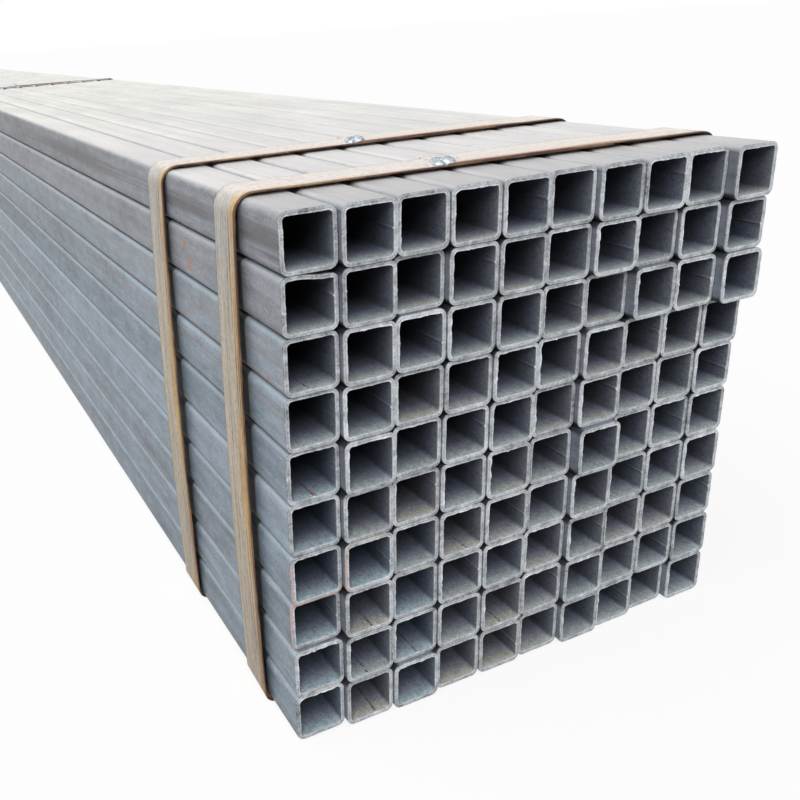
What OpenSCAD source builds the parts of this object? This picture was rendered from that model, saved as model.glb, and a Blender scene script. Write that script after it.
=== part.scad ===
// A mill pack of cold-formed square steel tube: ten rows of ten tubes lying on each other,
// held by bands of steel strip. Each band's ends lap on top of the pack and are welded there.
// X runs across the pack, Y along the tubes (the front ends face -Y) and Z up from the
// underside of the bands, at the middle of the pack.

/* [Tube] */
// Outer side of the square section
tube_side = 40; // [36:0.5:60]
// Wall thickness
tube_wall = 3; // [1.5:0.1:4]
// Outer radius of the rolled corners
corner_radius = 6; // [4.5:0.1:8]
// Length of one tube
tube_length = 6000; // [5000:10:9000]
// Width of the weld bead that runs along the inside
bead_width = 2.4; // [1.6:0.1:3.2]
// Height of that bead above the inside face
bead_height = 0.6; // [0.3:0.05:0.8]

/* [Pack] */
// Number of tubes side by side
columns = 10; // [7:1:14]
// Play between neighbours in a row
column_gap = 0.4; // [0.2:0.05:0.9]
// Play between two rows, and between the lowest row and the bands
row_gap = 0.2; // [0.1:0.05:0.8]
// Millimetres that one step of the end stagger stands for
stagger_step = 1; // [0:0.1:2]

/* [Bands] */
// Width of the steel strip
strip_width = 40; // [25:1:60]
// Thickness of the steel strip
strip_thick = 1; // [0.6:0.1:1.6]
// Inner radius of the strip at the pack's upper corners
strip_bend = 14; // [10:0.5:24]
// How far the strip bows out at half the pack's height
strip_bow = 3; // [1:0.25:6]
// Length of the lap where the ends of the strip lie on each other
lap_length = 145; // [80:5:160]
// Length over which the outer end comes down off the lap
lap_ramp = 34; // [20:2:40]
// Distance of the outer bands from the tube ends, to the middle of the strip
outer_band = 66; // [50:1:120]
// Distance of the inner bands of each end's pair from the tube ends
inner_band = 220; // [180:1:400]
// Distance of the middle bands from the tube ends
middle_band = 1840; // [1000:5:2300]
// Radius of the largest ball of weld metal that holds a band's end
weld_radius = 7; // [4:0.25:9]
// Distance of that ball from the strip's front edge
weld_inset = 9; // [7:0.5:14]

/* [Hidden] */

rows = 10;
$fn = 48;

// Steps by which each row, from the top down, and each column, from the left, stands out of the
// pack's end, and the tubes that lie further out or in than both: row, column and steps
row_push = [5, 4, 3, 1, -1, -2, -2, -3, -3, -4];
column_push = [-3, 1, -1, 0, 1, -1, 3, 0, 0, 1];
odd_ends = [
    [1, 8, 4], [1, 9, 3], [1, 10, 10], [2, 3, -4], [2, 9, 3], [2, 10, 8],
    [3, 7, -6], [3, 8, 5], [3, 9, 5], [3, 10, 11], [5, 2, 3], [6, 7, 5],
    [8, 1, -3], [10, 3, 4], [10, 9, -4]
];
// Row and column of the tubes that lie with their weld bead on the floor side
floor_beads = [[3, 1], [5, 1], [7, 4], [8, 2], [9, 2], [9, 3], [9, 5], [10, 2]];

// Turn of each band about the upright axis, and where its lap lies on top: 0 is the middle,
// and 1 is as far to the right as the bend allows
band_skew = [-2, -0.6, 0.6, 0.8, -1, 1.4];
band_lap = [0.36, 0.58, 0.2, 0.4, 0.5, 0.3];

// Balls of a weld: place along and across the strip and radius, as shares of the largest radius,
// and how deep their middles lie below the strip's surface
weld_balls = [[0.3, 0, 1], [-0.6, -0.25, 0.7], [0.05, 1.1, 0.8]];
weld_sink = 0.2;

inner_side = tube_side - 2 * tube_wall;
inner_radius = max(corner_radius - tube_wall, 0.5);
column_pitch = tube_side + column_gap;
row_pitch = tube_side + row_gap;
pack_width = columns * tube_side + (columns - 1) * column_gap;
pack_height = rows * tube_side + rows * row_gap;

// The circle whose cap stands bead_height out of the inside face over bead_width
bead_radius = (bead_width * bead_width / 4 + bead_height * bead_height) / (2 * bead_height);

all_steps = [for (row = [1:rows], column = [1:columns]) stagger(row, column)];
pack_front = -tube_length / 2 + (max(all_steps) + min(all_steps)) / 2;
pack_back = pack_front + tube_length;

// Worked-out places are rounded up to a hundredth of a millimetre, so that arcs and flats meet
function hundredth(value) = ceil(value * 100) / 100;

// A strip with a wider bend than the tube touches it at the bend and stands off beside it
corner_stand = hundredth(max(strip_bend - corner_radius, 0) * (1 - sqrt(0.5)));
top_stand = corner_stand + row_gap;
strip_top = strip_thick + pack_height + top_stand;
lap_room = pack_width / 2 - strip_bend - lap_length / 2 - lap_ramp;

band_places = [
    pack_front + outer_band, pack_front + inner_band, pack_front + middle_band,
    pack_back - middle_band, pack_back - inner_band, pack_back - outer_band
];

function column_x(column) = -pack_width / 2 + tube_side / 2 + (column - 1) * column_pitch;
function row_z(row) = strip_thick + row_gap + tube_side / 2 + (rows - row) * row_pitch;

// How far a tube's front end stands out of the pack's end: its row's and column's steps, and its
// own where it is one of the odd ends
function odd_push(row, column) =
    [for (end = odd_ends) if (end[0] == row && end[1] == column) end[2]];
function stagger(row, column) =
    stagger_step * (row_push[row - 1] + column_push[(column - 1) % len(column_push)]
                    + (len(odd_push(row, column)) > 0 ? odd_push(row, column)[0] : 0));

// Quarter turns of the bead from the floor side, and how far it lies off the middle of its face
function bead_turn(row, column) =
    len([for (tube = floor_beads) if (tube == [row, column]) tube]) > 0
        ? 0
        : 1 + (5 * row + 2 * column) % 3;
function bead_shift(row, column) = ((3 * row + 7 * column) % 5 - 2) * bead_width;

// Place across the pack of a band's outer end, where it is welded down
function tip_x(band) = hundredth(band_lap[band - 1] * lap_room - lap_length / 2);

// Room that a turned band needs beside the pack
function side_stand(skew) =
    corner_stand + row_gap
    + hundredth(strip_width / 2 * sin(abs(skew)) + pack_width / 2 * (1 - cos(skew)));

module rounded_square(side, radius) {
    flat = side - 2 * radius;
    square([side, flat], center = true);
    square([flat, side], center = true);
    for (x = [-1, 1], y = [-1, 1])
        translate([x * flat / 2, y * flat / 2])
            circle(radius);
}

module tube_section(turn, shift) {
    difference() {
        rounded_square(tube_side, corner_radius);
        difference() {
            rounded_square(inner_side, inner_radius);
            rotate(90 * turn)
                translate([shift, -inner_side / 2 + bead_height - bead_radius])
                    circle(bead_radius);
        }
    }
}

module tube_row(row) {
    color([0.55, 0.58, 0.6])
        for (column = [1:columns])
            translate([column_x(column), pack_front - stagger(row, column) + tube_length, row_z(row)])
                rotate([90, 0, 0])
                    linear_extrude(tube_length)
                        tube_section(bead_turn(row, column), bead_shift(row, column));
}

// Outline of the closed band, grown outwards from its inner face: round at the four corners,
// flat on top and below, and bowed out at the sides
module band_outline(stand, grow) {
    half = pack_width / 2 + stand;
    low_bend = corner_radius + stand;
    low = strip_thick + low_bend;
    high = strip_top - strip_bend;
    bow_half = (high - low) / 2 - low_bend / 2;
    bow_radius = round((bow_half * bow_half + strip_bow * strip_bow) / (2 * strip_bow));
    translate([-half - grow, low])
        square([2 * (half + grow), high - low]);
    translate([-half + strip_bend, low])
        square([2 * (half - strip_bend), strip_top + grow - low]);
    translate([-half + low_bend, strip_thick - grow])
        square([2 * (half - low_bend), high - strip_thick + grow]);
    for (side = [-1, 1]) {
        translate([side * (half - strip_bend), high])
            circle(strip_bend + grow);
        translate([side * (half - low_bend), low])
            circle(low_bend + grow);
        intersection() {
            translate([side * (half + strip_bow - bow_radius), (low + high) / 2])
                circle(bow_radius + grow, $fn = 2880);
            translate([side * half, (low + high) / 2])
                square([4 * strip_bow, high - low], center = true);
        }
    }
}

// The strip seen along the tubes: its inner end stops under the lap, and its outer end comes
// up the ramp and lies on the inner one as far as the tip
module band_path(stand, tip) {
    lap_end = tip + lap_length;
    difference() {
        band_outline(stand, strip_thick);
        band_outline(stand, 0);
        translate([lap_end, strip_top - strip_thick])
            square([lap_ramp, 3 * strip_thick]);
    }
    translate([tip, strip_top + strip_thick])
        square([lap_length, strip_thick]);
    polygon([
        [lap_end, strip_top + strip_thick],
        [lap_end + lap_ramp, strip_top],
        [lap_end + lap_ramp, strip_top + strip_thick],
        [lap_end, strip_top + 2 * strip_thick]
    ]);
}

module place_band(band) {
    translate([0, band_places[band - 1], 0])
        rotate([0, 0, band_skew[band - 1]])
            children();
}

module band(band) {
    color([0.72, 0.62, 0.5])
        place_band(band)
            translate([0, strip_width / 2, 0])
                rotate([90, 0, 0])
                    linear_extrude(strip_width)
                        band_path(side_stand(band_skew[band - 1]), tip_x(band));
}

// A lump of weld over the outer end, made of balls that run into each other
module band_weld(band) {
    tip = tip_x(band);
    seat = strip_top + strip_thick;
    first = weld_inset - strip_width / 2;
    color([0.8, 0.82, 0.86])
        place_band(band)
            translate([tip, first, seat])
                difference() {
                    for (ball = weld_balls)
                        translate([ball[0], ball[1], -weld_sink] * weld_radius)
                            sphere(ball[2] * weld_radius);
                    translate([-2, -2, -2] * weld_radius)
                        cube([4, 5, 2] * weld_radius);
                    translate([0, -2 * weld_radius, -strip_thick])
                        cube([2 * weld_radius, 5 * weld_radius, 2 * strip_thick]);
                }
}

tube_row(1);  // tube_row_01
tube_row(2);  // tube_row_02
tube_row(3);  // tube_row_03
tube_row(4);  // tube_row_04
tube_row(5);  // tube_row_05
tube_row(6);  // tube_row_06
tube_row(7);  // tube_row_07
tube_row(8);  // tube_row_08
tube_row(9);  // tube_row_09
tube_row(10);  // tube_row_10
band(1);  // band_1
band(2);  // band_2
band(3);  // band_3
band(4);  // band_4
band(5);  // band_5
band(6);  // band_6
band_weld(1);  // band_weld_1
band_weld(2);  // band_weld_2
band_weld(3);  // band_weld_3
band_weld(4);  // band_weld_4
band_weld(5);  // band_weld_5
band_weld(6);  // band_weld_6
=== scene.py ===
import bpy
import numpy as np
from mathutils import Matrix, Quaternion, Vector


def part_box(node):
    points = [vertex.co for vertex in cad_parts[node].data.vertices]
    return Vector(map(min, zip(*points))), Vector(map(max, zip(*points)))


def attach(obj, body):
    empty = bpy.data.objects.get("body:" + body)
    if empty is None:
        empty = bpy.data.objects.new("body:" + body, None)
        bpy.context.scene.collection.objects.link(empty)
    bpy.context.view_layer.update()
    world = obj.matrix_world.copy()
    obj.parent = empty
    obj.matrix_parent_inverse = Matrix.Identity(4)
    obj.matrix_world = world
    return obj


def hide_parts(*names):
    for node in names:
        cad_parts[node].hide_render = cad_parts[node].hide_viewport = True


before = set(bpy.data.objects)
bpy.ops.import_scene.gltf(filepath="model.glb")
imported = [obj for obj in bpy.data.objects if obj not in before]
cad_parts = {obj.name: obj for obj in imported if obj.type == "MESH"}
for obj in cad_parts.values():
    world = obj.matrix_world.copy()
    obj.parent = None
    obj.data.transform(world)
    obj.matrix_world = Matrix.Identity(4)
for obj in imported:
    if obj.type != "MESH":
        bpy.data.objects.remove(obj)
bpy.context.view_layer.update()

# The tubes: square hollow section, cold-rolled from strip and welded along one side, so that a
# low bead runs down the bore. They keep their blue-grey mill skin outside, and the sawn ends
# are bright and ragged, with burrs along the inner edge and dust on the floor of the bore, made
# brighter near the mouth by painted light.
rows = 10
columns = 10
bands = 6
millimetre = 0.001
strip_thick = 1 * millimetre
wall = 3 * millimetre
corner_radius = 6 * millimetre
bead_half_width = 1.2 * millimetre
bead_height = 0.6 * millimetre
saw_allowance = 0.5 * millimetre
saw_waver = 0.6 * millimetre
burr_lean = 0.5 * millimetre
burr_overhang = 0.4 * millimetre
dented_row = 2
dent_depth = 2.2 * millimetre
dent_length = 24 * millimetre
dust_length = 12 * millimetre
flat_points = 16
arc_points = 5
tube_sharp_degrees = 40
mill_scatter = np.random.default_rng(40)

# Tubes that differ from the rest, by row from the top and column from the left: weld bead on the
# floor of the bore, tint of the dust, and stained sides of the sawn rim
side_names = ["floor", "right", "top", "left"]
floor_beads = [(3, 1), (5, 1), (7, 4), (8, 2), (9, 2), (9, 3), (9, 5), (10, 2)]
brown_bores = [(4, 3), (6, 3), (7, 4), (8, 2), (9, 5), (10, 2), (10, 4), (10, 5)]
green_bores = [(5, 1), (6, 1), (7, 1), (7, 2), (8, 1), (8, 3), (9, 1), (9, 3), (10, 1), (10, 3)]
salmon_rims = [(7, 1, "left"), (7, 1, "floor"), (8, 1, "left"), (8, 1, "top"), (7, 2, "left")]
cream_rims = [(8, 5, "top"), (8, 7, "top"), (8, 3, "top"), (9, 1, "floor"), (7, 2, "top")]

# Marks on single tubes: the middle of each, and its reach along the three axes
rust_runs = [
    ((-0.2018, -2.8255, 0.3510), (0.02, 0.0055, 0.0065)),
    ((-0.2018, -2.8330, 0.3350), (0.02, 0.006, 0.008)),
    ((-0.2018, -2.8200, 0.2930), (0.02, 0.005, 0.005))]
dark_streaks = [
    ((-0.2018, -2.98, 0.3835), (0.02, 0.09, 0.010)),
    ((-0.2018, -2.99, 0.3735), (0.02, 0.05, 0.004)),
    ((-0.2018, -2.84, 0.3830), (0.02, 0.12, 0.009)),
    ((-0.2018, -2.45, 0.3840), (0.02, 0.40, 0.011))]
red_marks = [
    ((-0.2018, -2.9722, 0.2895), (0.01, 0.0025, 0.0020)),
    ((-0.1832, -2.9920, 0.2856), (0.0009, 0.010, 0.003)),
    ((-0.1803, -2.9880, 0.2052), (0.0009, 0.010, 0.003))]


def node_points(node):
    """The corners of a solid's mesh as an array, one row for each."""
    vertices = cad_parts[node].data.vertices
    flat = np.empty(3 * len(vertices), np.float32)
    vertices.foreach_get("co", flat)
    return flat.reshape(-1, 3).astype(float)


def tube_boxes(node):
    """Lowest and highest corner of each tube in a row, from left to right."""
    points = node_points(node)
    low, high = points.min(0), points.max(0)
    share = (points[:, 0] - low[0]) / (high[0] - low[0])
    column = np.minimum((share * columns).astype(int), columns - 1)
    lows = np.array([points[column == number].min(0) for number in range(columns)])
    highs = np.array([points[column == number].max(0) for number in range(columns)])
    return lows, highs


def band_places(node):
    """Where a band lies, read from its solid: its turn about the upright axis, its middle along
    the tubes, half its width, and the solid's corners in the band's own frame."""
    points = node_points(node)
    under = points[points[:, 2] < 0.2 * strip_thick]
    slope = np.polyfit(under[:, 0], under[:, 1], 1)[0]
    turn = np.arctan(slope)
    rest = under[:, 1] - slope * under[:, 0]
    centre = (rest.min() + rest.max()) / 2
    half_width = (rest.max() - rest.min()) / 2 * np.cos(turn)
    x = points[:, 0] * np.cos(turn) + (points[:, 1] - centre) * np.sin(turn)
    return turn, centre, half_width, np.column_stack([x, points[:, 2]])


def ring_quads(batch, along, around, closed):
    """Corner numbers of the quads of a batch of grids, each of which closes round itself; the
    last line of a closed grid also joins its first one."""
    number = np.arange(batch * along * around).reshape(batch, along, around)
    ahead = np.roll(number, -1, axis=1)
    quads = np.stack([number, ahead, np.roll(ahead, -1, axis=2), np.roll(number, -1, axis=2)], -1)
    if not closed:
        quads = quads[:, :-1]
    return quads.reshape(-1, 4).tolist()


def smooth_mesh(name, points, faces, sharp_degrees):
    """Mesh of the points and faces, smooth apart from edges sharper than the angle given."""
    mesh = bpy.data.meshes.new(name)
    mesh.from_pydata(points.reshape(-1, 3).tolist(), [], faces)
    mesh.polygons.foreach_set("use_smooth", np.ones(len(mesh.polygons), bool))
    mesh.set_sharp_from_angle(angle=np.radians(sharp_degrees))
    return mesh


def paint(mesh, shape, **layers):
    """Gives each layer of values to the mesh's points, after spreading it over their grid."""
    for name, values in layers.items():
        spread = np.ascontiguousarray(np.broadcast_to(values, shape)).ravel().astype(np.float32)
        mesh.attributes.new(name, "FLOAT", "POINT").data.foreach_set("value", spread)


def add_piece(mesh, node, finishes):
    """Puts a finished piece in the place of its solid."""
    piece = bpy.data.objects.new(mesh.name, mesh)
    bpy.context.scene.collection.objects.link(piece)
    for material in finishes:
        mesh.materials.append(material)
    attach(piece, "root")
    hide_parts(node)


class Finish:
    """A material whose nodes are added by short calls, each of which gives back its output."""

    def __init__(self, name):
        self.material = bpy.data.materials.new(name)
        self.material.use_nodes = True
        self.tree = self.material.node_tree
        self.shader = self.tree.nodes["Principled BSDF"]
        self.place = self.tree.nodes.new("ShaderNodeTexCoord").outputs["Object"]

    def node(self, kind, **settings):
        made = self.tree.nodes.new(kind)
        for name, value in settings.items():
            setattr(made, name, value)
        return made

    def join(self, source, socket):
        """Links an output to a socket, or sets the socket to a plain value."""
        if hasattr(source, "is_output"):
            self.tree.links.new(source, socket)
        else:
            socket.default_value = source

    def attribute(self, name):
        return self.node("ShaderNodeAttribute", attribute_name=name).outputs["Fac"]

    def axes(self):
        """Distances across the pack, along the tubes and up from the floor."""
        made = self.node("ShaderNodeSeparateXYZ")
        self.join(self.place, made.inputs[0])
        return made.outputs["X"], made.outputs["Y"], made.outputs["Z"]

    def stretched(self, scale, place=None, turn=0):
        """A place turned about the upright axis by the degrees given, then scaled on each axis."""
        turned = self.node("ShaderNodeMapping", vector_type="TEXTURE")
        self.join(place or self.place, turned.inputs["Vector"])
        turned.inputs["Rotation"].default_value = (0, 0, np.radians(turn))
        mapping = self.node("ShaderNodeMapping")
        self.join(turned.outputs["Vector"], mapping.inputs["Vector"])
        mapping.inputs["Scale"].default_value = scale
        return mapping.outputs["Vector"]

    def noise(self, vector, scale=1, detail=4, roughness=0.55):
        made = self.node("ShaderNodeTexNoise")
        self.join(vector, made.inputs["Vector"])
        made.inputs["Scale"].default_value = scale
        made.inputs["Detail"].default_value = detail
        made.inputs["Roughness"].default_value = roughness
        return made.outputs["Fac"]

    def range(self, value, low, high, to_low=0.0, to_high=1.0):
        made = self.node("ShaderNodeMapRange")
        self.join(value, made.inputs["Value"])
        made.inputs["From Min"].default_value = low
        made.inputs["From Max"].default_value = high
        made.inputs["To Min"].default_value = to_low
        made.inputs["To Max"].default_value = to_high
        return made.outputs["Result"]

    def math(self, operation, first, second=0.0):
        made = self.node("ShaderNodeMath", operation=operation)
        self.join(first, made.inputs[0])
        self.join(second, made.inputs[1])
        return made.outputs[0]

    def total(self, first, *others):
        for value in others:
            first = self.math("ADD", first, value)
        return first

    def product(self, first, *others):
        for value in others:
            first = self.math("MULTIPLY", first, value)
        return first

    def mix(self, share, first, second, blend="MIX"):
        made = self.node("ShaderNodeMix", data_type="RGBA", blend_type=blend)
        self.join(share, made.inputs["Factor"])
        self.join(first, made.inputs["A"])
        self.join(second, made.inputs["B"])
        return made.outputs["Result"]

    def times(self, colour, level):
        """The colour, made lighter or darker by the level."""
        return self.mix(1.0, colour, level, "MULTIPLY")

    def spots(self, colour, places, wobble, tint, strength=0.85):
        """Tints the colour inside each ellipsoid given by a middle and a reach; the wobble makes
        its outline ragged."""
        for place, reach in places:
            away = self.node("ShaderNodeVectorMath", operation="SUBTRACT")
            self.join(self.place, away.inputs[0])
            away.inputs[1].default_value = place
            shares = self.node("ShaderNodeVectorMath", operation="DIVIDE")
            self.join(away.outputs[0], shares.inputs[0])
            shares.inputs[1].default_value = reach
            length = self.node("ShaderNodeVectorMath", operation="LENGTH")
            self.join(shares.outputs[0], length.inputs[0])
            ragged = self.total(length.outputs["Value"], self.range(wobble, 0.3, 0.7, -0.5, 0.5))
            colour = self.mix(self.range(ragged, 1.0, 0.4, 0.0, strength), colour, tint)
        return colour

    def bump(self, height, strength, distance):
        made = self.node("ShaderNodeBump")
        self.join(height, made.inputs["Height"])
        made.inputs["Strength"].default_value = strength
        made.inputs["Distance"].default_value = distance
        self.join(made.outputs["Normal"], self.shader.inputs["Normal"])

    def set(self, **values):
        """Sets the shader's sockets; an underscore in a name stands for a space."""
        for name, value in values.items():
            self.join(value, self.shader.inputs[name.replace("_", " ")])


def mill_skin():
    """Outside of the tubes: oily blue-grey skin, drawn out in streaks along the tube, with lanes
    of brownish grey, most of them on the upper rows, scuffs, bright flecks and a slightly
    different shade on each tube. Painted shade makes it darker towards the back and low down
    at the front. The upper faces have a pale, patchy, scratched bloom that is partly a painted
    sheen, and the upper edges of the lower rows have painted highlights. Slate dirt with painted
    shade lies where tubes face each other, the painted shade darkest at their corners and under
    the edges where two rows meet, and a nearly black painted shadow with some dirt lies under
    the bands. On the left side, rust runs down the second and third rows, dark streaks lie
    along the top row, and the third row has a small red mark."""
    blue_grey = (0.254, 0.322, 0.392, 1)
    brown_grey = (0.294, 0.306, 0.338, 1)
    grey_bloom_and_sheen = (0.75, 0.728, 0.718, 1)
    cream_bloom_and_sheen = (0.815, 0.805, 0.75, 1)
    rubbed_edge = (0.46, 0.52, 0.56, 1)
    slate_dirt_and_shade = (0.165, 0.18, 0.217, 1)
    deep_shade = (0.02, 0.02, 0.024, 1)
    band_dirt_and_shadow = (0.03, 0.026, 0.024, 1)
    band_dirt_and_shadow_starts = 5 * millimetre
    band_dirt_and_shadow_full = 8 * millimetre
    rust = (0.40, 0.235, 0.14, 1)
    dark_oil = (0.105, 0.098, 0.105, 1)
    red_mark = (0.50, 0.14, 0.17, 1)

    finish = Finish("mill_skin")
    streaks = finish.noise(finish.stretched((130, 1.3, 130)), detail=6, roughness=0.6)
    lanes = finish.noise(finish.stretched((90, 0.45, 90)), detail=3)
    patches = finish.noise(finish.stretched((20, 5, 20)), detail=5, roughness=0.6)
    scuffs = finish.noise(finish.stretched((75, 30, 75)), detail=6, roughness=0.7)
    scratches = finish.noise(finish.stretched((330, 34, 330), turn=35), detail=3)
    flecks = finish.noise(finish.stretched((620, 45, 620)), detail=3, roughness=0.6)
    grain = finish.noise(finish.place, scale=420, detail=4, roughness=0.65)
    _, along, height = finish.axes()

    warm = finish.total(lanes, finish.product(finish.attribute("warmth"), 0.3),
                        finish.range(height, 0.3, 0.35, 0.0, 0.2))
    colour = finish.mix(finish.range(warm, 0.5, 0.8), blue_grey, brown_grey)
    # Painted shade: darker low down at the front end
    low_front = finish.product(finish.range(height, 0.22, 0.02), finish.range(along, -2.3, -2.8))
    light = finish.total(
        finish.range(streaks, 0.28, 0.72, 0.72, 1.2),
        finish.product(finish.attribute("shade"), 0.09),
        finish.range(grain, 0.3, 0.7, -0.2, 0.2),
        finish.range(patches, 0.3, 0.7, -0.16, 0.16),
        finish.range(scuffs, 0.3, 0.7, -0.22, 0.22),
        finish.range(flecks, 0.58, 0.7, 0.0, 0.35),
        # Painted shade: lighter at the front end and darker towards the back, and darker low down at
        # the front
        finish.range(along, -3.0, -2.2, 0.08, -0.2),
        finish.product(low_front, -0.2))
    colour = finish.times(colour, light)

    # Pale bloom on the upper faces, partly real and partly a painted sheen, greyer at the front end
    # and creamier towards the back
    bloom_and_sheen = finish.product(
        finish.attribute("dust"),
        finish.range(patches, 0.36, 0.62, 1.0, 0.74),
        finish.range(streaks, 0.3, 0.6, 0.8, 1.0),
        finish.range(along, -3.02, -2.9, 0.7, 1.0),
        finish.range(scratches, 0.58, 0.7, 1.0, 0.7))
    far = finish.total(finish.range(along, -2.95, -2.1), finish.range(lanes, 0.35, 0.65, -0.4, 0.4))
    pale = finish.mix(finish.range(far, 0.0, 1.0), grey_bloom_and_sheen, cream_bloom_and_sheen)
    pale = finish.times(pale, finish.range(along, -3.02, -2.88, 0.7, 1.0))
    colour = finish.mix(bloom_and_sheen, colour, pale)
    # Painted highlight along the upper edges of the rows below the top one
    colour = finish.mix(finish.attribute("rub"), colour, rubbed_edge)

    # Slate dirt with painted shade where tubes face each other; the painted shade is nearly black at
    # their corners and under the edges where two rows meet
    grime = finish.attribute("grime")
    dirt_and_shade = finish.mix(finish.range(grime, 0.8, 0.93), slate_dirt_and_shade, deep_shade)
    dirt_and_shade = finish.times(dirt_and_shade, finish.range(scuffs, 0.3, 0.7, 0.6, 1.4))
    colour = finish.mix(grime, colour, dirt_and_shade)
    # Painted shadow with some dirt, nearly black, on the tubes under each band
    for number in range(1, bands + 1):
        turn, centre, half_width, _ = band_places("band_%d" % number)
        across = finish.node("ShaderNodeVectorMath", operation="DOT_PRODUCT")
        finish.join(finish.place, across.inputs[0])
        across.inputs[1].default_value = (-np.sin(turn), np.cos(turn), 0)
        away = finish.math("SUBTRACT", across.outputs["Value"], centre * np.cos(turn))
        under = finish.range(finish.math("ABSOLUTE", away), half_width - band_dirt_and_shadow_starts,
                             half_width - band_dirt_and_shadow_full, 0.0, 0.9)
        colour = finish.mix(under, colour, band_dirt_and_shadow)

    colour = finish.spots(colour, rust_runs, scuffs, rust)
    colour = finish.spots(colour, dark_streaks, streaks, dark_oil, strength=0.75)
    colour = finish.spots(colour, red_marks, scuffs, red_mark)
    finish.set(Base_Color=colour, Metallic=0.1, Roughness=finish.range(streaks, 0.25, 0.75, 0.4, 0.58))
    finish.set(Coat_Weight=0.08, Coat_Roughness=0.3)
    finish.bump(scuffs, 0.2, 0.8 * millimetre)
    return finish.material


def sawn_steel():
    """Sawn ends: bright grey metal, pitted and chipped by the blade, lighter along both edges of
    the wall and darkened on the outermost line by painted shade, with each side of a rim a little
    lighter or darker than the next, and on a few tubes stained salmon or cream."""
    bright_grey = (0.545, 0.572, 0.605, 1)
    salmon_stain = (0.60, 0.40, 0.35, 1)
    cream_stain = (0.66, 0.63, 0.53, 1)

    finish = Finish("sawn_steel")
    grit = finish.noise(finish.place, scale=430, detail=4, roughness=0.7)
    blotch = finish.noise(finish.place, scale=110, detail=4, roughness=0.6)
    chips = finish.noise(finish.place, scale=900, detail=3, roughness=0.6)
    cut = finish.attribute("cut")
    edge = finish.math("ABSOLUTE", finish.math("SUBTRACT", cut, 0.5))
    light = finish.total(
        finish.range(grit, 0.36, 0.62, 0.72, 1.13),
        finish.range(blotch, 0.32, 0.68, -0.32, 0.28),
        finish.range(edge, 0.15, 0.42, -0.12, 0.26),
        # Painted shade: the outermost line of the rim darkened
        finish.range(cut, 0.8, 0.97, 0.0, -0.65),
        finish.range(chips, 0.56, 0.68, 0.0, 0.2),
        finish.range(chips, 0.44, 0.34, 0.0, -0.15),
        finish.product(finish.attribute("shade"), 0.05))
    colour = finish.times(bright_grey, light)
    stain = finish.attribute("stain")
    ragged_stain = finish.product(finish.range(blotch, 0.35, 0.6), finish.range(cut, 0.3, 0.6))
    salmon = finish.product(finish.range(stain, 0, 1), ragged_stain)
    cream = finish.product(finish.range(stain, 0, -1), ragged_stain)
    colour = finish.mix(salmon, colour, salmon_stain)
    colour = finish.mix(cream, colour, cream_stain)
    finish.set(Base_Color=colour, Metallic=0.1, Roughness=0.5)
    finish.bump(grit, 0.5, 0.6 * millimetre)
    return finish.material


def bore_skin():
    """Inside of the tubes: dull dark skin, saw dust in crumbs on the floor near the mouth and
    thinly on the walls, greenish or brownish from tube to tube, with painted light that makes it
    brightest at the mouth and fades into the bore, the broken scorched line of the seam, and a
    touch of red along it in two bores of the first column."""
    cool_skin = (0.017, 0.025, 0.039, 1)
    warm_skin = (0.031, 0.030, 0.031, 1)
    wall_dust = (0.42, 0.46, 0.61, 1)
    green_dust = (0.46, 0.575, 0.64, 1)
    brown_dust = (0.56, 0.565, 0.525, 1)
    scorched_steel = (0.06, 0.045, 0.04, 1)
    red_line = (0.30, 0.09, 0.10, 1)

    finish = Finish("bore_skin")
    specks = finish.noise(finish.stretched((320, 200, 320)), detail=4, roughness=0.65)
    drawn = finish.noise(finish.stretched((140, 9, 140)), detail=4)
    crumbs = finish.noise(finish.place, scale=700, detail=3, roughness=0.7)
    breaks = finish.noise(finish.place, scale=330, detail=4, roughness=0.8)
    warmth = finish.attribute("warmth")
    colour = finish.mix(warmth, cool_skin, warm_skin)
    colour = finish.times(colour, finish.range(drawn, 0.25, 0.75, 0.6, 1.4))
    # Dust with painted light: brightest at the mouth and on the floor, fading into the bore
    share = finish.attribute("dust")
    floor_dust = finish.mix(warmth, green_dust, brown_dust)
    dust = finish.mix(finish.range(share, 0.25, 0.5), wall_dust, floor_dust)
    dust = finish.times(dust, finish.range(crumbs, 0.3, 0.7, 0.66, 1.38))
    dust_and_light_cover = finish.product(share, finish.range(specks, 0.32, 0.6, 0.65, 1.0))
    colour = finish.mix(dust_and_light_cover, colour, dust)
    scorched = finish.product(finish.range(finish.attribute("seam"), 0, 0.6, 0, 0.9),
                              finish.range(breaks, 0.4, 0.55))
    colour = finish.mix(scorched, colour, scorched_steel)
    colour = finish.spots(colour, red_marks, specks, red_line)
    finish.set(Base_Color=colour, Metallic=0.0, Roughness=0.75, Specular_IOR_Level=0.25)
    finish.bump(specks, 0.3, 0.7 * millimetre)
    return finish.material


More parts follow.
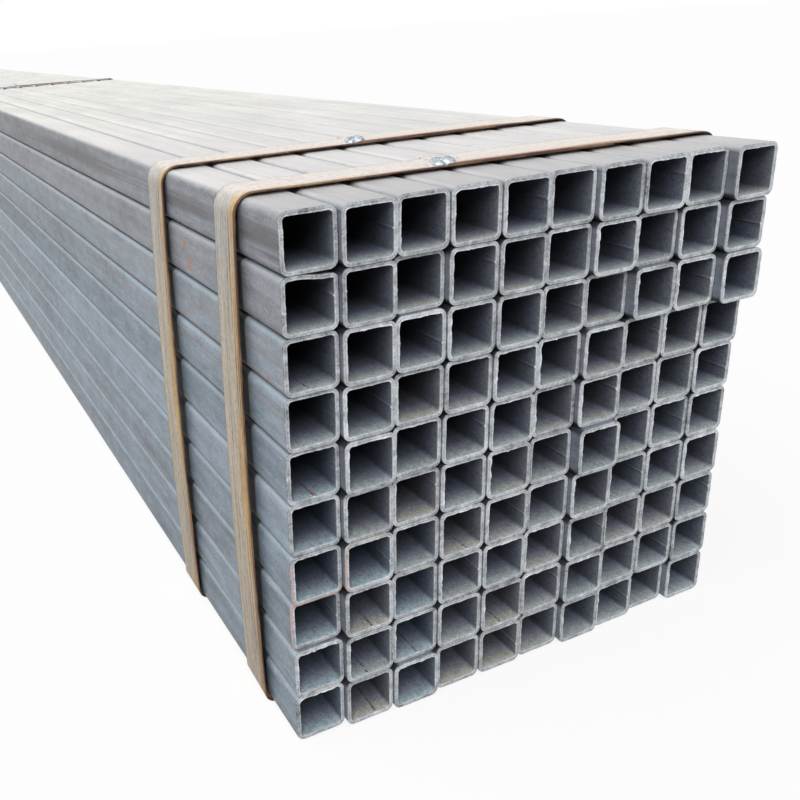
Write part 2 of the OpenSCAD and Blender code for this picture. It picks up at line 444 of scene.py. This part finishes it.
def core_square(half, bead_place):
    """Points and outward normals round a sharp square, counter-clockwise from its lower left
    corner: each side has even points and a cluster at the bead, and each corner turns the normal
    through a quarter. A rounded square is this square pushed out along its normals."""
    tubes = len(bead_place)
    even = np.broadcast_to(np.linspace(-half, half, flat_points), (tubes, flat_points))
    cluster = bead_place[:, None] + bead_half_width * np.array([-1.7, -1, -0.5, 0, 0.5, 1, 1.7])
    side = np.sort(np.concatenate([even, cluster], 1), 1)
    turn = np.linspace(0, np.pi / 2, arc_points + 2)[1:-1]
    outward = np.array([(0, -1), (1, 0), (0, 1), (-1, 0)], float)
    onward = np.roll(outward, -1, axis=0)
    flats = half * outward[None, :, None] + side[:, None, :, None] * onward[None, :, None]
    flat_normals = np.broadcast_to(outward[None, :, None], flats.shape)
    corner = np.broadcast_to((half * (outward + onward))[None, :, None], (tubes, 4, arc_points, 2))
    bend = np.cos(turn)[:, None] * outward[:, None] + np.sin(turn)[:, None] * onward[:, None]
    bend = np.broadcast_to(bend[None], (tubes, 4, arc_points, 2))
    points = np.concatenate([flats, corner], 2).reshape(tubes, -1, 2)
    normals = np.concatenate([flat_normals, bend], 2).reshape(tubes, -1, 2)
    place = np.concatenate([np.broadcast_to(side[:, None], (tubes, 4, side.shape[1])),
                            np.full((tubes, 4, arc_points), half)], 2).reshape(tubes, -1)
    number = np.repeat(np.arange(4), points.shape[1] // 4)
    return points, normals, place, number


def evened(values, passes):
    """Values averaged with their neighbours round the rim."""
    for _ in range(passes):
        values = (np.roll(values, 1, -1) + 2 * values + np.roll(values, -1, -1)) / 4
    return values


# One trip round the wall in a lengthwise cut: outside face, sawn end, bore, other sawn end.
# Each stop gives the share of the wall from the bore, the end it belongs to, and its depth there
# in millimetres.
lip_share = 0.04
outside_depths = [0.9, 2.5, 9, 20, 45]
bore_depths = [0.7, 2, 5, 11, 22, 45, 90]
across_the_cut = [(0.94, 0.15), (0.72, 0), (0.45, 0.05), (0.2, 0), (lip_share, 0)]
stops = [(1, 0, depth) for depth in outside_depths]
stops += [(1, 1, depth) for depth in outside_depths[::-1]]
stops += [(share, 1, depth) for share, depth in across_the_cut]
stops += [(0, 1, depth) for depth in bore_depths]
stops += [(0, 0, depth) for depth in bore_depths[::-1]]
stops += [(share, 0, depth) for share, depth in across_the_cut[::-1]]
stop_share, stop_end, stop_depth = np.array(stops).T
stop_end = stop_end.astype(int)
stop_depth = stop_depth * millimetre
on_the_cut = (stop_share > 0) & (stop_share < 1)
in_bore = stop_share == 0
behind_the_lip = in_bore & (stop_depth < millimetre)
at_the_lip = np.where(stop_share == lip_share, 1.0, np.where(behind_the_lip, 0.6, 0.0))


def tube_row(row, finishes):
    """Ten tubes: a core square pushed out along its normals by the corner radius less a share of
    the wall, carried from stop to stop round the wall. The bead rises out of the bore as a
    parabola, the burr leans into the bore and forward by a ragged amount, and the upper right
    edge of the dented tube sinks towards its front end as a bell curve."""
    node = "tube_row_%02d" % row
    lows, highs = tube_boxes(node)
    middle = (lows + highs) / 2
    half = (highs[0, 0] - lows[0, 0]) / 2 - corner_radius
    column = np.arange(1, columns + 1)
    on_floor = np.array([(row, number) in floor_beads for number in column])
    bead_side = np.where(on_floor, 0, 1 + (5 * row + 2 * column) % 3)
    bead_place = ((3 * row + 7 * column) % 5 - 2) * 2 * bead_half_width
    core, normal, place, side = core_square(half, bead_place)
    around = core.shape[1]
    shape = (columns, len(stops), around)

    off_bead = np.abs(place - bead_place[:, None]) / bead_half_width
    on_side = side[None] == bead_side[:, None]
    bead = on_side * np.clip(1 - off_bead ** 2, 0, None) * bead_height
    seam = on_side * np.clip(1 - off_bead, 0, 1) * np.where(on_floor, 1, 0.25)[:, None]

    heavy = mill_scatter.random((columns, 2, 4))[:, :, side]
    burr = evened(mill_scatter.random((columns, 2, around)), 1) ** 2 * (0.3 + 1.4 * heavy)
    wave = evened(mill_scatter.random((columns, 2, around)), 2) - 0.5
    tone = on_the_cut[None, :, None] * (evened(heavy, 6) - 0.5)[:, stop_end]
    lean = burr[:, stop_end] * at_the_lip[None, :, None]
    push = corner_radius - wall * (1 - stop_share)[None, :, None] - lean * burr_lean
    push = push - in_bore[None, :, None] * bead[:, None]
    depth = stop_depth[None, :, None] + saw_allowance
    depth = depth - on_the_cut[None, :, None] * wave[:, stop_end] * saw_waver
    depth = np.maximum(depth - lean * burr_overhang, 0)
    section = core[:, None] + push[..., None] * normal[:, None]
    if row == dented_row:
        slump = np.clip(normal[:1, :, 1], 0, 1) * np.clip(core[:1, :, 0] / half + 0.4, 0, 1)
        reach = np.exp(-(stop_depth / dent_length) ** 2) * (stop_end == 0)
        section[0, :, :, 1] -= dent_depth * reach[:, None] * slump
    front, back = lows[:, 1, None, None], highs[:, 1, None, None]
    length = np.where(stop_end[None, :, None] == 0, front + depth, back - depth)
    points = np.stack([middle[:, 0, None, None] + section[..., 0], length,
                       middle[:, 2, None, None] + section[..., 1]], -1)

    # Mill skin outside, sawn steel on the cut and bore skin inside
    quads = ring_quads(*shape, closed=True)
    mesh = smooth_mesh("tubes_row_%02d" % row, points, quads, tube_sharp_degrees)
    kind = np.where(on_the_cut | np.roll(on_the_cut, -1), 1, np.where(in_bore, 2, 0))
    kind = np.ascontiguousarray(np.broadcast_to(kind[None, :, None], shape)).ravel()
    mesh.polygons.foreach_set("material_index", kind.astype(np.int32))

    # Warmth of each tube's skin and dust, and dust with painted light that thins out from the
    # mouth of the bore
    warmth = mill_scatter.uniform(0.35, 0.75, columns)
    warmth[[(row, number) in brown_bores for number in column]] = 1
    warmth[[(row, number) in green_bores for number in column]] = 0
    dust_and_mouth_light = (0.5 + 0.5 * np.clip(-normal[..., 1], 0, 1))[:, None]
    dust_and_mouth_light = dust_and_mouth_light * np.exp(-stop_depth / dust_length)[None, :, None]

    # Dirt and painted shade on the faces that other tubes cover, and painted shade under the edges
    # where two rows meet
    first = (column == 1)[:, None]
    last = (column == columns)[:, None]
    open_sides = [(1.1 * normal[..., 1] - 0.3, row == 1), (-normal[..., 1], row == rows),
                  (normal[..., 0], last), (-normal[..., 0], first)]
    seen = sum(np.clip(facing, 0, 1) * is_open for facing, is_open in open_sides)
    at_corner = 2 * np.abs(normal[..., 0] * normal[..., 1])
    grime = np.clip(1 - 1.7 * seen, 0, 0.8) * (1 + 0.2 * at_corner)
    under_edge = np.clip(-3.2 * normal[..., 1] - 0.9, 0, 0.97) * (row < rows)
    grime = np.maximum(grime, under_edge)[:, None]

    # Bloom, partly real and partly a painted sheen, on the top row's upper faces, less of it round
    # the pack's outer edges, and painted highlights on the upper edges of the other rows
    outward = np.where(column <= columns / 2, -1, 1)[:, None]
    outer = (np.abs(normal[..., 0] - outward) < 1) & (first | last)
    upward = np.where(outer, 2.6 * normal[..., 1] - 1.5, 1.9 * normal[..., 1] - 0.35)
    upward = np.clip(upward, 0, 1)[:, None] * (1 - grime) * (row == 1)
    # Painted highlight on the upper edges of the rows below the top one
    rub = np.clip(3 * normal[..., 1] - 1.2, 0, 0.55)[:, None] * (1 - grime) * (row > 1)
    dust = np.where(in_bore[None, :, None], dust_and_mouth_light, upward)

    # Stained rims, and a shade for each tube that differs at random; painted shade makes the lower
    # rows darker, and the top row's first tube is darker too
    stain = np.zeros((columns, 1, around))
    for tint, rims in ((1, salmon_rims), (-1, cream_rims)):
        for number, name in [rim[1:] for rim in rims if rim[0] == row]:
            stain[number - 1, 0, side == side_names.index(name)] = tint
    shade = mill_scatter.normal(0, 1, columns) + (5.5 - max(row, 4)) / 3
    shade[0] -= 1.5 * (row == 1)
    shade = shade[:, None, None] + 7 * tone
    paint(mesh, shape, shade=shade, stain=stain, warmth=warmth[:, None, None], seam=seam[:, None],
          dust=dust, grime=grime, rub=rub, cut=stop_share[None, :, None])
    add_piece(mesh, node, finishes)


tube_finishes = [mill_skin(), sawn_steel(), bore_skin()]
for row in range(rows, 0, -1):
    tube_row(row, tube_finishes)

# The bands: slit steel strip, 40 mm wide and 1 mm thick, bent round the pack by hand. The strip
# touches the tubes at the corners, bows out at the sides and laps on itself on top, where the
# outer end lies on the inner one. Its cut edges rust first.
strip_bow = 3 * millimetre
upper_bend = 14 * millimetre
lap_ramp = 34 * millimetre
lap_fade = 15 * millimetre
edge_play = 0.35 * millimetre
edge_round = 0.25 * strip_thick
face_points = 11
bend_points = 14
side_points = 60
strip_sharp_degrees = 50
pack_low, pack_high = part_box("tube_row_10")
pack_half = (pack_high.x - pack_low.x) / 2
strip_scatter = np.random.default_rng(6)


def arc(x, z, radius, start, stop):
    """Points of a circle's arc, angles in degrees from +X towards +Z."""
    angle = np.radians(np.linspace(start, stop, bend_points))
    return np.column_stack([x + radius * np.cos(angle), z + radius * np.sin(angle)])


def line(start, stop, step=6 * millimetre):
    """Even points of a straight run, without its two ends."""
    start, stop = np.array(start), np.array(stop)
    count = max(int(np.hypot(*(stop - start)) / step), 2)
    share = np.linspace(0, 1, count + 1)[1:-1, None]
    return start + share * (stop - start)


def strip_line(corners):
    """Tip of the strip and its middle line in the band's own frame, from the inner end under the
    lap, round the pack, up the ramp and along the lap to the outer tip. The sides bow out as a
    parabola over their height."""
    top = corners[:, 1].max() - 1.5 * strip_thick
    lap = corners[corners[:, 1] > corners[:, 1].max() - 0.2 * strip_thick, 0]
    tip, lap_end = lap.min(), lap.max()
    half = np.abs(corners[:, 0]).max() - strip_bow - strip_thick
    lower_bend = corner_radius + half - pack_half
    skin = strip_thick / 2
    high = top - skin - upper_bend
    low = strip_thick + lower_bend
    heights = np.linspace(high, low, side_points)[1:-1]
    from_middle = (heights - (high + low) / 2) / ((high - low) / 2)
    swell = strip_bow * np.clip(1 - from_middle ** 2, 0, None)
    left_side = np.column_stack([-half - skin - swell, heights])
    right_side = np.column_stack([half + skin + swell, heights])[::-1]
    upper, lower = half - upper_bend, half - lower_bend
    lap_top = top + strip_thick
    return tip, np.concatenate([
        [(lap_end, top)], line((lap_end, top), (-upper, top)),
        arc(-upper, high, upper_bend + skin, 90, 180), left_side,
        arc(-lower, low, lower_bend + skin, 180, 270), line((-lower, skin), (lower, skin)),
        arc(lower, low, lower_bend + skin, 270, 360), right_side,
        arc(upper, high, upper_bend + skin, 0, 90), line((upper, top), (lap_end + lap_ramp, top)),
        [(lap_end + lap_ramp, top)], line((lap_end + lap_ramp, top), (lap_end, lap_top)),
        [(lap_end, lap_top)], line((lap_end, lap_top), (tip, lap_top)),
        [(tip, lap_top)]])


def band(number, finishes):
    """A flat strip with rounded edges carried along its middle line: each point is the line's
    point, plus the distance across the strip, plus half the thickness along the line's normal.
    Both edges waver a little."""
    node = "band_%d" % number
    turn, centre, half_width, corners = band_places(node)
    tip, path = strip_line(corners)
    ahead = np.gradient(path, axis=0)
    ahead /= np.linalg.norm(ahead, axis=1)[:, None]
    normal = np.column_stack([ahead[:, 1], -ahead[:, 0]])
    run = np.concatenate([[0], np.cumsum(np.linalg.norm(np.diff(path, axis=0), axis=1))])

    across = np.linspace(1, -1, face_points)
    across = np.concatenate([across, [-1], across[::-1], [1]])
    face = np.concatenate([np.ones(face_points), [0], -np.ones(face_points), [0]])
    inset = np.where((np.abs(across) == 1) & (face != 0), edge_round, 0)
    waver = strip_scatter.normal(0, 1, (2, len(path)))
    for _ in range(6):
        waver = (np.roll(waver, 1, 1) + waver + np.roll(waver, -1, 1)) / 3
    play = edge_play * np.clip(waver, -1, 1)
    edge = np.where(across[None] > 0, play[0][:, None], play[1][:, None])
    distance = across[None] * (half_width - edge_play) + edge * across[None] ** 2
    distance = distance - np.sign(across)[None] * inset[None]
    flat = path[:, None] + (face * strip_thick / 2)[None, :, None] * normal[:, None]
    x = flat[..., 0] * np.cos(turn) - distance * np.sin(turn)
    y = centre + flat[..., 0] * np.sin(turn) + distance * np.cos(turn)
    points = np.stack([x, y, flat[..., 1]], -1)

    faces = ring_quads(1, len(path), len(across), closed=False)
    first_ring = np.arange(len(across))
    last_ring = first_ring + (len(path) - 1) * len(across)
    faces += [first_ring.tolist(), last_ring[::-1].tolist()]
    mesh = smooth_mesh("strip_band_%d" % number, points, faces, strip_sharp_degrees)
    upward = np.clip(np.abs(normal[:, 1:]) * (path[:, 1:] > pack_high.z), 0, 1)
    lap = np.clip((path[:, :1] - tip) / lap_fade, 0, 1) * upward
    paint(mesh, distance.shape, across=across, run=run[:, None], upward=upward, lap=lap)
    add_piece(mesh, node, finishes)


def rusty_strip():
    """Slit strip: grey-tan and mottled, streaked along its length, greyer near the upper bends,
    with a lane of ochre of changing width next to the front edge, dark brown lines and red-brown
    cut edges. It has a pale bloom on top of the pack that is partly a painted sheen, rust along
    the front of the lap, and it darkens towards the floor."""
    grey_tan = (0.585, 0.54, 0.475, 1)
    brown_tan = (0.555, 0.455, 0.315, 1)
    ochre = (0.64, 0.40, 0.15, 1)
    bend_grey = (0.55, 0.538, 0.508, 1)
    dark_line = (0.16, 0.095, 0.06, 1)
    top_bloom_and_sheen = (0.77, 0.712, 0.668, 1)
    lap_rust = (0.36, 0.17, 0.125, 1)
    edge_rust = (0.075, 0.03, 0.02, 1)

    finish = Finish("rusty_strip")
    across = finish.attribute("across")
    lane = finish.node("ShaderNodeCombineXYZ")
    finish.join(across, lane.inputs["X"])
    finish.join(finish.attribute("run"), lane.inputs["Y"])
    streaks = finish.noise(finish.stretched((4, 8, 1), lane.outputs[0]), detail=6, roughness=0.65)
    lines = finish.noise(finish.stretched((11, 10, 1), lane.outputs[0]), detail=6, roughness=0.65)
    spread = finish.noise(finish.stretched((0.8, 13, 1), lane.outputs[0]), detail=4)
    mottle = finish.noise(finish.place, scale=260, detail=5, roughness=0.7)
    _, _, height = finish.axes()
    to_front = finish.math("SUBTRACT", finish.range(spread, 0.25, 0.75, -0.45, 0.45), across)

    tan = finish.mix(finish.range(streaks, 0.35, 0.65), grey_tan, brown_tan)
    colour = finish.mix(finish.range(to_front, 0.2, 0.75), tan, ochre)
    grey = finish.product(finish.range(height, 0.29, 0.37, 0.0, 0.8),
                          finish.range(to_front, 0.75, 0.2, 0.1, 1.0))
    colour = finish.mix(grey, colour, bend_grey)
    dark = finish.product(finish.range(lines, 0.51, 0.57),
                          finish.range(to_front, -0.9, 0.5, 0.2, 0.95),
                          finish.range(height, 0.375, 0.4, 1.0, 0.35))
    colour = finish.mix(dark, colour, dark_line)
    # Pale bloom on top of the pack, partly real and partly a painted sheen
    bloom_and_sheen = finish.product(finish.range(finish.attribute("upward"), 0.7, 1.0),
                           finish.range(streaks, 0.35, 0.65, 0.95, 0.7),
                           finish.range(across, -0.92, -0.66, 0.1, 1.0))
    colour = finish.mix(bloom_and_sheen, colour, top_bloom_and_sheen)
    rust = finish.product(finish.attribute("lap"), finish.range(across, -0.5, -0.85),
                          finish.range(lines, 0.42, 0.56, 0.15, 0.85))
    colour = finish.mix(rust, colour, lap_rust)
    colour = finish.times(colour, finish.range(mottle, 0.32, 0.68, 0.82, 1.2))
    colour = finish.times(colour, finish.range(height, 0.04, 0.2, 0.82, 1.0))
    edge = finish.math("MAXIMUM", finish.range(across, -0.8, -0.92), finish.range(across, 0.95, 0.99))
    ragged_edge = finish.product(edge, finish.range(lines, 0.4, 0.52, 0.6, 1.0))
    colour = finish.mix(ragged_edge, colour, edge_rust)
    finish.set(Base_Color=colour, Metallic=0.1, Roughness=finish.range(streaks, 0.3, 0.7, 0.5, 0.7))
    finish.bump(lines, 0.3, 0.6 * millimetre)
    return finish.material


strip_finishes = [rusty_strip()]
for number in range(1, bands + 1):
    band(number, strip_finishes)

# The welds: a lump of weld metal over the outer end of each band, run in with a stick electrode
# and left bright, with small drops of spatter on the strip beside it.
weld_scatter = np.random.default_rng(12)
weld_radius = 7 * millimetre
weld_inset = 9 * millimetre
weld_balls = np.array([(0.3, 0, 1), (-0.6, -0.25, 0.7), (0.05, 1.1, 0.8)])
weld_sink = 0.2
weld_sharp_degrees = 60
spatter_drops = 10
dome_rings = 12
dome_points = 28
dome_tip = 0.02


def lumps(centres, radii, heights):
    """Domes: rings from the rim to the top, whose reach wavers with the angle and whose height is
    the root of one minus the squared ring share; a flat foot closes each below."""
    ring = np.sin(np.linspace(np.pi / 2, dome_tip, dome_rings))
    angle = np.linspace(2 * np.pi, 0, dome_points, endpoint=False)
    swing = weld_scatter.normal(0, 0.07, (len(centres), 1, 4, 1))
    phase = weld_scatter.uniform(0, 2 * np.pi, (len(centres), 1, 4, 1))
    outline = 1 + (swing * np.cos(np.arange(2, 6)[:, None] * angle + phase)).sum(2)
    reach = np.concatenate([[dome_tip], ring])[None, :, None] * radii[:, None, None] * outline
    rise = np.concatenate([[0], np.sqrt(np.clip(1 - ring ** 2, 0, None))])
    ripple = 0.94 + 0.06 * np.cos(5 * angle + 11 * np.concatenate([[0], ring])[:, None])
    height = heights[:, None, None] * rise[None, :, None] * ripple
    x = centres[:, 0, None, None] + reach * np.cos(angle)
    y = centres[:, 1, None, None] + reach * np.sin(angle)
    return np.stack([x, y, centres[:, 2, None, None] + height], -1)


def weld(number, finishes):
    """The lumps of one weld, each at the place and of the size of its solid, and drops beside it."""
    node = "band_weld_%d" % number
    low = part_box(node)[0]
    turn, centre, half_width, corners = band_places("band_%d" % number)
    tip = strip_line(corners)[0]
    balls = weld_balls * weld_radius
    drop_along = weld_scatter.uniform(-20, 20, spatter_drops) * millimetre
    drop_across = weld_scatter.uniform(-18, 12, spatter_drops) * millimetre
    drop_radii = weld_scatter.uniform(0.4, 1.0, spatter_drops) * millimetre
    along = tip + np.concatenate([balls[:, 0], drop_along])
    across = np.concatenate([weld_inset - half_width + balls[:, 1], drop_across])
    on_the_lap = drop_along > 0
    seats = np.concatenate([np.full(len(balls), low.z), low.z + strip_thick * on_the_lap])
    radii = np.concatenate([0.97 * balls[:, 2], drop_radii])
    heights = np.concatenate([balls[:, 2] - weld_sink * weld_radius, 0.7 * drop_radii])
    x = along * np.cos(turn) - across * np.sin(turn)
    y = centre + along * np.sin(turn) + across * np.cos(turn)
    points = lumps(np.column_stack([x, y, seats]), radii, heights)
    faces = ring_quads(*points.shape[:3], closed=False)
    number_grid = np.arange(points.size // 3).reshape(points.shape[:3])
    faces += number_grid[:, 0].tolist() + number_grid[:, -1, ::-1].tolist()
    mesh = smooth_mesh("weld_lumps_%d" % number, points, faces, weld_sharp_degrees)
    add_piece(mesh, node, finishes)


def weld_metal():
    """Bright weld metal with bluish patches of slag skin."""
    bright_weld = (0.66, 0.69, 0.74, 1)
    blue_slag = (0.20, 0.25, 0.32, 1)
    finish = Finish("weld_metal")
    skin = finish.noise(finish.place, scale=420, detail=4)
    colour = finish.mix(finish.range(skin, 0.4, 0.62), bright_weld, blue_slag)
    finish.set(Base_Color=colour, Metallic=0.6, Roughness=finish.range(skin, 0.3, 0.7, 0.22, 0.5))
    finish.bump(skin, 0.4, 0.6 * millimetre)
    return finish.material


weld_finishes = [weld_metal()]
for number in range(1, bands + 1):
    weld(number, weld_finishes)

# The floor: a plain pale sheet under the pack, made of matt paper that is white to the camera
# apart from the pack's shadow, and a plain grey to the light that bounces off it.
floor_half = 60
floor_level = -0.3 * millimetre
white_paper = (0.85, 0.85, 0.85, 1)
grey_paper = (0.3, 0.3, 0.3, 1)
paper_glow = 0.82
floor_corners = np.array([(-1, -1, 0), (1, -1, 0), (1, 1, 0), (-1, 1, 0)]) * floor_half
floor_mesh = bpy.data.meshes.new("floor")
floor_mesh.from_pydata((floor_corners + (0, 0, floor_level)).tolist(), [], [(0, 1, 2, 3)])
floor = bpy.data.objects.new("floor", floor_mesh)
bpy.context.scene.collection.objects.link(floor)
paper = Finish("floor_paper")
glow = paper.node("ShaderNodeEmission")
glow.inputs["Strength"].default_value = 1.0
paper_rays = paper.node("ShaderNodeLightPath").outputs
in_view = paper.math("MAXIMUM", paper_rays["Is Camera Ray"], paper_rays["Is Glossy Ray"])
in_view = paper.math("MAXIMUM", in_view, paper_rays["Is Transmission Ray"])
paper.set(Base_Color=paper.mix(in_view, grey_paper, white_paper), Roughness=0.9, Specular_IOR_Level=0)
blend = paper.node("ShaderNodeMixShader")
paper.join(paper.product(in_view, paper_glow), blend.inputs[0])
paper.join(paper.shader.outputs[0], blend.inputs[1])
paper.join(glow.outputs[0], blend.inputs[2])
paper.join(blend.outputs[0], paper.tree.nodes["Material Output"].inputs["Surface"])
floor_mesh.materials.append(paper.material)

# The light: an even white surround, a broad soft lamp above and in front of the pack, a little to
# its left, which reaches into the mouths of the bores, and a weaker one on the left side.
surround_light = 0.25
scene = bpy.context.scene
scene.world = bpy.data.worlds.new("white_surround")
scene.world.use_nodes = True
sky_nodes = scene.world.node_tree.nodes
sky_links = scene.world.node_tree.links
sky = sky_nodes["Background"]
sky.inputs["Color"].default_value = (1, 1, 1, 1)
sky_rays = sky_nodes.new("ShaderNodeLightPath").outputs
seen_or_mirrored = sky_nodes.new("ShaderNodeMath")
seen_or_mirrored.operation = "MAXIMUM"
sky_links.new(sky_rays["Is Camera Ray"], seen_or_mirrored.inputs[0])
sky_links.new(sky_rays["Is Glossy Ray"], seen_or_mirrored.inputs[1])
seen_anyhow = sky_nodes.new("ShaderNodeMath")
seen_anyhow.operation = "MAXIMUM"
sky_links.new(seen_or_mirrored.outputs[0], seen_anyhow.inputs[0])
sky_links.new(sky_rays["Is Transmission Ray"], seen_anyhow.inputs[1])
sky_level = sky_nodes.new("ShaderNodeMapRange")
sky_level.inputs["To Min"].default_value = surround_light
sky_level.inputs["To Max"].default_value = 1.0
sky_links.new(seen_anyhow.outputs[0], sky_level.inputs["Value"])
sky_links.new(sky_level.outputs["Result"], sky.inputs["Strength"])

for name, level, spread_degrees, toward in (("front_lamp", 0.78, 40, (-0.3, -0.62, 0.72)),
                                            ("left_lamp", 0.32, 50, (-0.6, 0.1, 0.79))):
    lamp = bpy.data.lights.new(name, "SUN")
    lamp.energy = level * np.pi
    lamp.angle = np.radians(spread_degrees)
    lamp_object = bpy.data.objects.new(name, lamp)
    lamp_object.rotation_euler = Vector(toward).to_track_quat("Z", "Y").to_euler()
    scene.collection.objects.link(lamp_object)

# The camera: close to the front end, on the left and a little above the pack, as in the photograph.
picture = 800
focal_pixels = 858.5
picture_middle = (239.6, 328.8)
eye = Vector((-0.4121, -3.4468, 0.5052))
aim = Vector((-0.2297, -2.9965, 0.3361))
roll = np.radians(-3.856)
camera = bpy.data.cameras.new("camera")
camera.sensor_width = 36
camera.lens = focal_pixels * camera.sensor_width / picture
camera.shift_x = (picture / 2 - picture_middle[0]) / picture
camera.shift_y = (picture_middle[1] - picture / 2) / picture
camera.clip_start = 0.01
camera.clip_end = 200
camera_object = bpy.data.objects.new("camera", camera)
camera_object.location = eye
camera_object.rotation_mode = "QUATERNION"
camera_object.rotation_quaternion = (aim - eye).to_track_quat("-Z", "Y") @ Quaternion((0, 0, 1), roll)
scene.collection.objects.link(camera_object)
scene.camera = camera_object
scene.view_settings.view_transform = "Standard"
